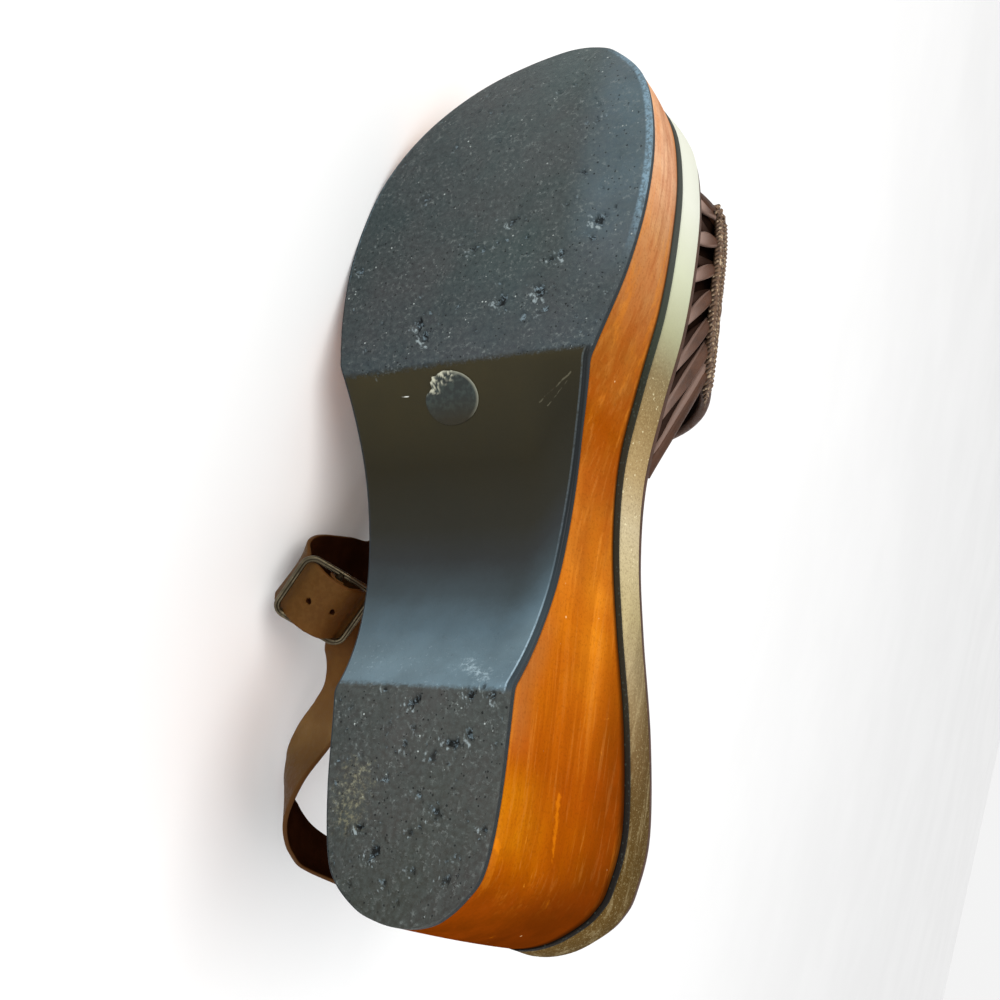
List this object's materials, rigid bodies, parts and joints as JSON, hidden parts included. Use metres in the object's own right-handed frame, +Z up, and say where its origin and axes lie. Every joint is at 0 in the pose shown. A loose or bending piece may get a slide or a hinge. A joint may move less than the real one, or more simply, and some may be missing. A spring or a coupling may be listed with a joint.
{
  "type": "open-toe wooden platform clog sandal",
  "caption": "Right-foot wooden platform clog sandal with a woven leather vamp, an arched rubber-soled base and a slack buckled ankle strap, lying on its outer side.",
  "frame": {"origin": "bottom centre of the bounding box of the shoe as it lies on its outer side", "axes": "+Z up from the floor it lies on, +Y from heel to toe, the tread faces towards -X and the shoe's inner side is up"},
  "size_m": [0.1144, 0.2552, 0.1134],
  "materials": {
    "outsole_rubber": "moulded, worn matt",
    "stained_wood": "orange-brown stain under satin lacquer",
    "black_leather": "smooth matt edge",
    "tan_suede": "pale suede covering over foam",
    "insole_leather": "smooth dark brown",
    "woven_leather": "smooth strips with a bronze plaited band",
    "strap_leather": "smooth grain outside, dark red-brown inside",
    "aged_brass": "aged, satin"
  },
  "bodies": {
    "root": {"outsole": "outsole_rubber", "wood_platform": "stained_wood", "black_layer": "black_leather", "tan_midsole": "tan_suede", "insole": "insole_leather", "woven_vamp": "woven_leather", "heel_strap": "strap_leather", "tail_strap": "strap_leather", "buckle_frame": "aged_brass"}
  },
  "joints": []
}
